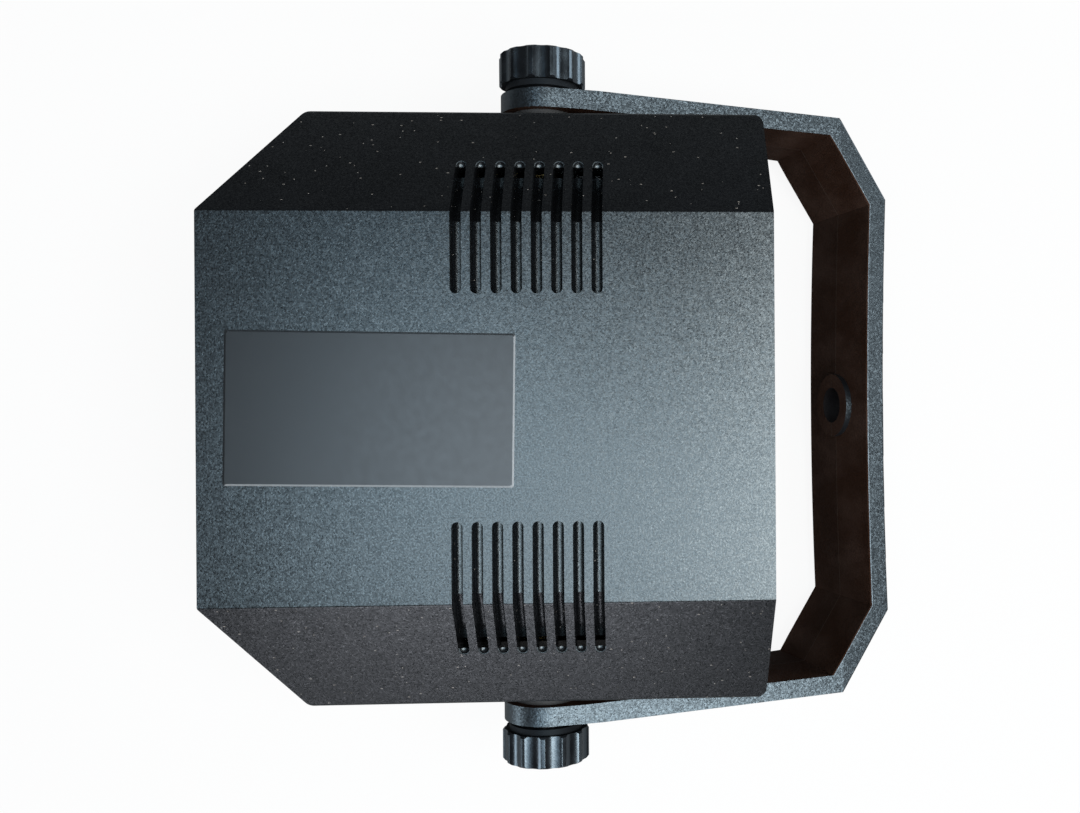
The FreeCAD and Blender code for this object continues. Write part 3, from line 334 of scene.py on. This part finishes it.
def glossy_knob():
    """Smooth black plastic with a soft shine and faint moulding ripple, dull on the collars."""
    material, tree, shader, place = start_material("glossy_knob")
    collar = on_the_collar(tree, place)
    broad = grain(tree, place, 5.0, 3.0)
    colour = tones(tree, broad, (0.006, 0.0064, 0.0075), (0.010, 0.0104, 0.0118))
    tree.links.new(colour, shader.inputs["Base Color"])
    roughness = duller(tree, collar, between(tree, broad, 0.20, 0.30))
    tree.links.new(roughness, shader.inputs["Roughness"])
    ripple = grain(tree, place, 1.4, 2.0)
    tree.links.new(relief(tree, ripple, 0.02), shader.inputs["Normal"])
    shine(shader, 1.0, (0.67, 0.85, 1.0))
    shader.inputs["IOR"].default_value = 1.7
    tree.links.new(between(tree, collar, 1.0, 0.15, 0.0, 1.0), shader.inputs["Specular IOR Level"])
    return material


def on_the_collar(tree, place):
    """One on the knobs' collars, between their grips and the yoke."""
    out = sum_of(tree, "ABSOLUTE", parts_of(tree, place)["X"])
    return sum_of(tree, "COMPARE", out, COLLAR_MIDDLE * MM, COLLAR_LENGTH / 2 * MM)


def plain_plastic(name, dark, light, rough=(0.42, 0.55), size=4.0):
    """Moulded plastic with a slight unevenness of colour and shine."""
    material, tree, shader, place = start_material(name)
    broad = grain(tree, place, size, 3.0)
    tree.links.new(tones(tree, broad, dark, light), shader.inputs["Base Color"])
    tree.links.new(between(tree, broad, *rough), shader.inputs["Roughness"])
    fine = grain(tree, place, 0.4, 2.0)
    tree.links.new(relief(tree, fine, 0.012), shader.inputs["Normal"])
    return material


def worked_metal(name, dark, light, rough=(0.22, 0.38), stretch=(1.0, 12.0, 1.0), size=6.0):
    """Metal with fine tool marks drawn along one direction."""
    material, tree, shader, place = start_material(name)
    marks = grain(tree, place, size, 3.0, stretch)
    tree.links.new(tones(tree, marks, dark, light), shader.inputs["Base Color"])
    tree.links.new(between(tree, marks, *rough), shader.inputs["Roughness"])
    tree.links.new(relief(tree, marks, 0.012), shader.inputs["Normal"])
    shader.inputs["Metallic"].default_value = 1.0
    return material


def clear_glass(name, tint, rough, film=0.0):
    """Glass with faint smears. A coating gives it a thin coloured film."""
    material, tree, shader, place = start_material(name)
    smear = grain(tree, place, 14.0, 3.0)
    paler = tuple(min(1.0, value * 1.04) for value in tint)
    tree.links.new(tones(tree, smear, tint, paler), shader.inputs["Base Color"])
    tree.links.new(between(tree, smear, *rough), shader.inputs["Roughness"])
    shader.inputs["Transmission Weight"].default_value = 1.0
    shader.inputs["IOR"].default_value = 1.5
    shader.inputs["Thin Film Thickness"].default_value = film
    return material


def green_board():
    """Solder mask over copper tracks, with bare pads."""
    material, tree, shader, place = start_material("green_board")
    tracks = tree.nodes.new("ShaderNodeTexBrick")
    tracks.inputs["Scale"].default_value = 1.0 / (11.0 * MM)
    tracks.inputs["Mortar Size"].default_value = 0.05
    tracks.inputs["Color1"].default_value = (0.012, 0.085, 0.036, 1.0)
    tracks.inputs["Color2"].default_value = (0.016, 0.105, 0.045, 1.0)
    tracks.inputs["Mortar"].default_value = (0.045, 0.21, 0.095, 1.0)
    tree.links.new(place, tracks.inputs["Vector"])
    pads = specks(tree, place, 4.0, 0.5, 0.7)
    colour = blend(tree, pads, tracks.outputs["Color"], (0.62, 0.58, 0.48))
    tree.links.new(colour, shader.inputs["Base Color"])
    fine = grain(tree, place, 1.5, 2.0)
    tree.links.new(between(tree, fine, 0.25, 0.40), shader.inputs["Roughness"])
    tree.links.new(relief(tree, tracks.outputs["Fac"], 0.03), shader.inputs["Normal"])
    return material


def painted_highlight_edges(tree):
    """One on the film's two cut edges that face the lamps, where a highlight is painted, zero on its
    face and other edges.
    """
    lean = vector_sum(tree, "DOT_PRODUCT", face_direction(tree), (1.0, 1.0, 0.0))
    return between(tree, lean, 0.0, 1.0, 0.03, 0.08)


def satin_film():
    """A dark plastic film, smoother than the case under it, with a highlight painted pale on the two
    cut edges that face the lamps.
    """
    material, tree, shader, place = start_material("satin_film")
    broad = grain(tree, place, 16.0, 3.0)
    face = tones(tree, broad, (0.0075, 0.0080, 0.0088), (0.0105, 0.0110, 0.0120))
    # Painted highlight: the pale colour on the two cut edges that lean towards +X and +Y stands in for
    # the lamps' shine on them.
    highlighted_edges = blend(tree, painted_highlight_edges(tree), face, (0.23, 0.24, 0.25))
    tree.links.new(highlighted_edges, shader.inputs["Base Color"])
    wave = grain(tree, place, 2.2, 2.0)
    tree.links.new(between(tree, wave, 0.31, 0.35), shader.inputs["Roughness"])
    tree.links.new(relief(tree, wave, 0.005), shader.inputs["Normal"])
    shine(shader, 0.72, (0.92, 0.96, 1.0))
    return material


def white_paint():
    """Pad-printed white, a little thin in places."""
    material, tree, shader, place = start_material("white_paint")
    cover = grain(tree, place, 0.8, 3.0)
    colour = tones(tree, cover, (0.52, 0.52, 0.50), (0.68, 0.68, 0.66))
    tree.links.new(colour, shader.inputs["Base Color"])
    tree.links.new(between(tree, cover, 0.45, 0.6), shader.inputs["Roughness"])
    tree.links.new(relief(tree, cover, 0.01), shader.inputs["Normal"])
    return material


finishes = {
    "case_plastic": textured_case(),
    "panel_plastic": smooth_panel(),
    "yoke_plastic": grained_yoke(),
    "knob_plastic": glossy_knob(),
    "clear_glass": clear_glass("window_pane", (0.93, 0.97, 0.96), (0.01, 0.04)),
    "grating_film": clear_glass("embossed_film", (0.88, 0.91, 0.95), (0.08, 0.16), 420.0),
    "combiner_glass": clear_glass("coated_glass", (0.90, 0.62, 0.80), (0.01, 0.04), 560.0),
    "silver_mirror": worked_metal(
        "silvered_face", (0.88, 0.88, 0.89), (0.94, 0.94, 0.95), (0.02, 0.05)
    ),
    "black_rubber": plain_plastic(
        "black_rubber", (0.012, 0.012, 0.012), (0.022, 0.022, 0.022), (0.65, 0.8)
    ),
    "bright_steel": worked_metal("plated_steel", (0.55, 0.56, 0.58), (0.68, 0.69, 0.71)),
    "black_steel": worked_metal(
        "blackened_steel", (0.035, 0.035, 0.038), (0.06, 0.06, 0.065), (0.35, 0.5)
    ),
    "black_fibre": plain_plastic(
        "black_fibre", (0.030, 0.030, 0.031), (0.050, 0.050, 0.051), (0.6, 0.75)
    ),
    "brass": worked_metal("turned_brass", (0.46, 0.33, 0.13), (0.58, 0.43, 0.20), (0.34, 0.48)),
    "aluminium": worked_metal(
        "milled_aluminium", (0.62, 0.63, 0.65), (0.76, 0.77, 0.79), (0.28, 0.44)
    ),
    "white_nylon": plain_plastic("white_nylon", (0.70, 0.69, 0.64), (0.82, 0.81, 0.76)),
    "board_green": green_board(),
    "component_black": plain_plastic(
        "component_black", (0.014, 0.014, 0.015), (0.028, 0.028, 0.030)
    ),
    "connector_white": plain_plastic("connector_white", (0.66, 0.65, 0.58), (0.78, 0.77, 0.71)),
    "led_lens": plain_plastic("led_lens", (0.50, 0.03, 0.02), (0.66, 0.06, 0.04), (0.12, 0.2)),
}
for subpart in frame["record"]["subparts"]:
    node = frame["nodes"][subpart["node"]]
    node.data.materials.clear()
    node.data.materials.append(finishes[subpart["material_slot"]])


# Added pieces


def deselect():
    """Leaves nothing selected before the next piece is made."""
    bpy.ops.object.select_all(action="DESELECT")


def select_only(piece, kind, wanted):
    """Leaves the piece in edit mode with only its wanted edges or faces selected."""
    bpy.ops.object.mode_set(mode="EDIT")
    bpy.ops.mesh.select_mode(type=kind)
    bpy.ops.mesh.select_all(action="DESELECT")
    bpy.ops.object.mode_set(mode="OBJECT")
    for found in piece.data.edges if kind == "EDGE" else piece.data.polygons:
        found.select = wanted([piece.data.vertices[i].co for i in found.vertices])
    bpy.ops.object.mode_set(mode="EDIT")


def thin_plate(name, size, thickness, corner, edge):
    """A thin film with rounded corners and a sloped cut edge, lying on z = 0 and facing up."""
    deselect()
    bpy.ops.mesh.primitive_cube_add(size=1.0, location=(0.0, 0.0, thickness / 2 * MM))
    plate = bpy.context.active_object
    plate.name = plate.data.name = name
    plate.scale = (size[0] * MM, size[1] * MM, thickness * MM)
    bpy.ops.object.transform_apply(location=True, rotation=False, scale=True)
    select_only(plate, "EDGE", lambda ends: abs(ends[0].z - ends[1].z) > thickness * MM / 2)
    bpy.ops.mesh.bevel(offset=corner * MM, segments=6)
    select_only(plate, "FACE", lambda corners: min(point.z for point in corners) > thickness * MM / 2)
    inward = [(side - 2 * edge) / side for side in size]
    top = (0.0, 0.0, thickness * MM)
    bpy.ops.transform.resize(value=(inward[0], inward[1], 1.0), center_override=top)
    bpy.ops.mesh.region_to_loop()
    bpy.ops.mesh.bevel(offset=edge / 10 * MM, segments=2)
    bpy.ops.object.mode_set(mode="OBJECT")
    return plate


def label_film():
    """The bare film on the top, laid a little askew as in the photograph."""
    film = thin_plate("label_film", FILM_SIZE, FILM_THICKNESS, FILM_CORNER, FILM_EDGE)
    film.location = (FILM_MIDDLE[0] * MM, FILM_MIDDLE[1] * MM, CASE_TOP * MM)
    film.rotation_euler = (0.0, 0.0, math.radians(FILM_TURN))
    bpy.ops.object.transform_apply(location=True, rotation=True, scale=False)
    film.data.materials.append(satin_film())
    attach(film, "housing")


def dial_marks():
    """Painted marks on the rear panel, round the travel of the sensitivity dial."""
    deselect()
    face = (DIAL_MIDDLE[0] * MM, (REAR_PANEL + TICK_HEIGHT / 2) * MM, (DIAL_MIDDLE[1] + TICK_RING) * MM)
    bpy.ops.mesh.primitive_cube_add(size=1.0, location=face)
    mark = bpy.context.active_object
    mark.name = "dial_mark"
    mark.scale = (TICK_SIZE[0] * MM, TICK_HEIGHT * MM, TICK_SIZE[1] * MM)
    bpy.ops.object.transform_apply(location=True, rotation=False, scale=True)
    select_only(mark, "EDGE", lambda ends: abs(ends[0].y - ends[1].y) > TICK_HEIGHT * MM / 2)
    bpy.ops.mesh.bevel(offset=TICK_SIZE[0] * TICK_ROUNDING * MM, segments=4)
    bpy.ops.object.mode_set(mode="OBJECT")
    mark.data.materials.append(white_paint())
    axis = (DIAL_MIDDLE[0] * MM, REAR_PANEL * MM, DIAL_MIDDLE[1] * MM)
    marks = [mark]
    for i in range(1, TICK_COUNT // 2 + 1):
        for way in (-1, 1):
            deselect()
            mark.select_set(True)
            bpy.context.view_layer.objects.active = mark
            bpy.ops.object.duplicate(linked=False)
            turn = way * math.radians(TICK_SWEEP * i / (TICK_COUNT - 1))
            bpy.ops.transform.rotate(value=turn, orient_axis="Y", center_override=axis)
            marks.append(bpy.context.active_object)
    for piece in marks:
        piece.select_set(True)
    bpy.context.view_layer.objects.active = mark
    bpy.ops.object.transform_apply(location=True, rotation=True, scale=True)
    bpy.ops.object.join()
    mark.name = mark.data.name = "dial_marks"
    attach(mark, "housing")


label_film()
dial_marks()


# Floor, light and camera


def pale_floor():
    """A floor that is white to the camera and through glass, and keeps the shadow."""
    deselect()
    bpy.ops.mesh.primitive_plane_add(size=FLOOR_SIZE)
    floor = bpy.context.active_object
    floor.name = "floor"
    material = bpy.data.materials.new("pale_floor")
    material.use_nodes = True
    tree = material.node_tree
    shader = tree.nodes["Principled BSDF"]
    shader.inputs["Roughness"].default_value = 0.9
    shader.inputs["Specular IOR Level"].default_value = 0.0
    glow = tree.nodes.new("ShaderNodeEmission")
    glow.inputs["Color"].default_value = (1.0, 1.0, 1.0, 1.0)
    glow.inputs["Strength"].default_value = 1.0
    path = tree.nodes.new("ShaderNodeLightPath")
    paler = between(tree, path.outputs["Is Camera Ray"], FLOOR_BOUNCE, FLOOR_PALE, 0.0, 1.0)
    tree.links.new(paler, shader.inputs["Base Color"])
    seen = either(tree, path.outputs["Is Camera Ray"], path.outputs["Is Transmission Ray"])
    bright = sum_of(tree, "MULTIPLY", seen, FLOOR_GLOW_SEEN)
    mirrored = path.outputs["Is Glossy Ray"]
    share = sum_of(tree, "MULTIPLY_ADD", mirrored, FLOOR_GLOW_MIRRORED, bright)
    mix = tree.nodes.new("ShaderNodeMixShader")
    tree.links.new(share, mix.inputs["Fac"])
    tree.links.new(shader.outputs["BSDF"], mix.inputs[1])
    tree.links.new(glow.outputs["Emission"], mix.inputs[2])
    tree.links.new(mix.outputs["Shader"], tree.nodes["Material Output"].inputs["Surface"])
    floor.data.materials.append(material)


def soft_box(name, place, target, width, length, power, colour):
    """A rectangular lamp that points at a target, in metres and watts."""
    deselect()
    bpy.ops.object.light_add(type="AREA", location=place)
    lamp = bpy.context.active_object
    lamp.name = name
    lamp.data.shape = "RECTANGLE"
    lamp.data.size = width
    lamp.data.size_y = length
    lamp.data.energy = power
    lamp.data.color = colour
    towards = Vector(target) - Vector(place)
    lamp.rotation_euler = towards.to_track_quat("-Z", "Y").to_euler()


def dim_room():
    """A room that is dim to the object and white to the camera and through glass."""
    world = bpy.data.worlds.new("room")
    bpy.context.scene.world = world
    world.use_nodes = True
    tree = world.node_tree
    sky = tree.nodes["Background"]
    sky.inputs["Color"].default_value = (0.96, 0.98, 1.0, 1.0)
    path = tree.nodes.new("ShaderNodeLightPath")
    seen = either(tree, path.outputs["Is Camera Ray"], path.outputs["Is Transmission Ray"])
    level = sum_of(tree, "MULTIPLY_ADD", seen, ROOM_SEEN - ROOM_LIGHT, ROOM_LIGHT)
    tree.links.new(level, sky.inputs["Strength"])


def photograph_camera():
    """The camera above the case, a little behind its middle, picture-left towards the front."""
    deselect()
    bpy.ops.object.camera_add(location=CAMERA_PLACE)
    camera = bpy.context.active_object
    camera.rotation_euler = [math.radians(angle) for angle in CAMERA_TURN]
    camera.data.sensor_width = CAMERA_FILM
    camera.data.lens = CAMERA_LENS
    camera.data.shift_x = CAMERA_SHIFT
    camera.data.clip_start = CAMERA_NEAR
    bpy.context.scene.camera = camera


pale_floor()
dim_room()
soft_box("window_light", (0.11, 0.45, 1.04), CASE_MIDDLE, 0.66, 0.52, 9.2, (0.97, 0.98, 0.965))
soft_box("second_window", (0.12, -0.04, 1.04), CASE_MIDDLE, 0.50, 0.40, 2.9, (0.80, 0.92, 1.0))
soft_box("third_window", (-0.03, -0.24, 1.04), CASE_MIDDLE, 0.50, 0.18, 0.32, (0.48, 0.77, 1.0))
soft_box("side_light", (1.10, -0.13, 0.48), CASE_MIDDLE, 0.50, 0.50, 2.5, (1.0, 0.93, 0.98))
soft_box("rear_fill", (-0.45, 1.25, 0.30), CASE_LOW, 0.80, 0.40, 3.6, (0.90, 0.96, 1.0))
soft_box("front_fill", (0.35, -1.25, 0.30), CASE_LOW, 0.80, 0.40, 3.6, (0.90, 0.96, 1.0))
photograph_camera()
bpy.context.scene.view_settings.view_transform = "Standard"
